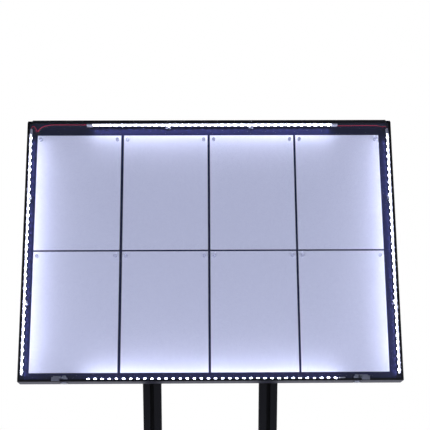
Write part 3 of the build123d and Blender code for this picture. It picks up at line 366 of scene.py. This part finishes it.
def run_of_parts(name, side, first, count, pitch, size, down, height, material):
    """One run of boxes on a tape, from its first place along the side."""
    along, inward, reach, shift = SIDES[side]
    leg = inward * math.sin(LEG_LEAN) - OUT * math.cos(LEG_LEAN)
    off = inward * math.cos(LEG_LEAN) + OUT * math.sin(LEG_LEAN)
    lip = RIM_MIDDLE - inward * (reach - LIP_WIDTH) - OUT * LIP_THICKNESS
    start = lip + along * (shift + first) + leg * down + off * height
    third = off if along.cross(leg).dot(off) > 0 else -off      # keeps the box turned, not mirrored
    turn = Matrix((along, leg, third)).transposed().to_euler()
    piece = bpy.data.objects.new(name, bpy.data.meshes.new(name))
    bpy.context.scene.collection.objects.link(piece)
    maker = piece.modifiers.new("run", "NODES")
    maker.node_group = RUN_TREE
    values = {
        "Start": start, "Step": along * pitch, "Count": count,
        "Size": size, "Turn": turn, "Material": material,
    }
    for item in RUN_TREE.interface.items_tree:
        if item.name in values:
            maker[item.identifier] = values[item.name]
    solved = piece.evaluated_get(bpy.context.evaluated_depsgraph_get())
    piece.data = bpy.data.meshes.new_from_object(solved)
    piece.modifiers.remove(maker)
    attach(piece, "stand")
    return piece


# %% [markdown]
# ## Resistors, pads and diode faces
# One resistor serves three diodes and sits midway between two of them. Two pads flank every cut
# mark. The last run is the lit face of each diode, a thin square a little smaller than its package.

# %% Fill the tapes
RESISTOR_BODY = moulded("black_chip_resistor", "#0B0B0D", "#17171B", 1500.0, (0.3, 0.45), 0.00001)
SOLDERED_PAD = bare_metal("tinned_copper_pad", "#B98A5E", "#D8D2C8", 900.0, (0.25, 0.4), 0.00001)
TAPE_MIDDLE = 8.0 * MM           # down the leg
PAD_ROWS = {"a": 5.5 * MM, "b": 10.5 * MM}
RESISTOR = ((3.2 * MM, 1.6 * MM, 0.6 * MM), TAPE_MIDDLE, 1.2 * MM, RESISTOR_BODY)
DIODE_FACE = ((3.8 * MM, 3.8 * MM, 0.3 * MM), TAPE_MIDDLE, 2.85 * MM, LIT_DIODE)
PAD_SIZE = (4.0 * MM, 2.0 * MM, 0.1 * MM)
PAD_HEIGHT = 1.05 * MM
GROUP = 3                        # diodes to one resistor, and between two cut marks
first_diode = -(DIODES - 1) / 2 * PITCH
groups = DIODES // GROUP
made = []
for side in SIDES:
    between = first_diode + PITCH / 2
    made.append(run_of_parts("resistors_" + side, side, between, groups, GROUP * PITCH, *RESISTOR))
    first_cut = first_diode + PITCH * 2.5
    for row, down in PAD_ROWS.items():
        name = f"cut_pads_{side}_{row}"
        pad = (PAD_SIZE, down, PAD_HEIGHT, SOLDERED_PAD)
        made.append(run_of_parts(name, side, first_cut, groups - 1, GROUP * PITCH, *pad))
    made.append(run_of_parts("lenses_" + side, side, first_diode, DIODES, PITCH, *DIODE_FACE))
print("runs", len(made), "faces", sum(len(piece.data.polygons) for piece in made))

# %% [markdown]
# ## Camera
# A longish lens stands a little above eye height and looks slightly down at the leaning case. Its
# place is given along the case's own directions, so it follows the case if the lean changes.

# %% Camera
camera_data = bpy.data.cameras.new("camera")
camera = bpy.data.objects.new("camera", camera_data)
bpy.context.scene.collection.objects.link(camera)
bpy.context.scene.camera = camera
camera_data.lens = 95.1
camera_data.sensor_width = 36.0
camera_data.clip_start = 0.05
camera_data.clip_end = 50.0
camera.location = case_point(-0.0219, -0.680, 2.6705)
aim = case_point(0.0128, 0.0893, PANEL_OUT)
direction = aim - camera.location
camera.rotation_euler = direction.to_track_quat("-Z", "Y").to_euler()
print("camera", [round(value, 3) for value in camera.location])

# %% [markdown]
# ## Studio
# A round pale floor carries the stand, and the world is plain white where the camera looks straight
# into it but dim where it lights the object, as in a studio where only the backdrop is lit. Two cool
# softboxes stand low in front, where their mirror image in the door misses the camera, and two more
# behind the stand draw its black edges.

# %% Floor, world and lamps
FLOOR_RADIUS = 1.38
bpy.ops.mesh.primitive_circle_add(vertices=96, radius=FLOOR_RADIUS, fill_type="NGON")
floor = bpy.context.object
floor.name = "studio_floor"
floor_material, floor_tree, floor_shader = new_material("pale_floor_paint", Roughness=0.7)
floor_noise = pattern(floor_tree, "ShaderNodeTexNoise", 14.0, Detail=4.0)
two_tone(floor_tree, floor_shader, floor_noise.outputs["Fac"], "#E4E4E6", "#EFEFF1")
floor_shader.inputs["Emission Color"].default_value = linear("#FFFFFF")
floor_shader.inputs["Emission Strength"].default_value = 0.42
floor.data.materials.append(floor_material)

BACKDROP = 1.0
FILL = 0.05
COOL = linear("#DADFFF")[:3]
WHITE = (1.0, 1.0, 1.0)
world = bpy.data.worlds.new("studio")
bpy.context.scene.world = world
world.use_nodes = True
sky = world.node_tree
sky.nodes.clear()
seen = node(sky, "ShaderNodeLightPath")
bright = node(sky, "ShaderNodeBackground", values={"Color": (1, 1, 1, 1), "Strength": BACKDROP})
dim = node(sky, "ShaderNodeBackground", values={"Color": (*COOL, 1), "Strength": FILL})
mix = node(sky, "ShaderNodeMixShader", links={"Fac": seen.outputs["Is Camera Ray"]})
sky.links.new(dim.outputs[0], mix.inputs[1])
sky.links.new(bright.outputs[0], mix.inputs[2])
node(sky, "ShaderNodeOutputWorld", links={"Surface": mix.outputs[0]})


def lamp(name, place, target, size, power, colour):
    """A square softbox."""
    light = bpy.data.lights.new(name, "AREA")
    light.size = size
    light.energy = power
    light.color = colour
    holder = bpy.data.objects.new(name, light)
    bpy.context.scene.collection.objects.link(holder)
    holder.location = place
    holder.rotation_euler = (Vector(target) - Vector(place)).to_track_quat("-Z", "Y").to_euler()


lamp("front_left_softbox", (-1.9, -2.6, 1.5), (0, 0, 1.15), 1.4, 42.0, COOL)
lamp("front_right_softbox", (1.9, -2.6, 1.5), (0, 0, 1.15), 1.4, 47.0, COOL)
lamp("rear_left_softbox", (-2.4, 1.8, 2.2), (0, 0, 0.8), 1.2, 22.0, WHITE)
lamp("rear_right_softbox", (2.4, 1.6, 2.4), (0, 0, 0.8), 1.2, 22.0, WHITE)
bpy.context.scene.view_settings.view_transform = "Standard"
print("studio ready")
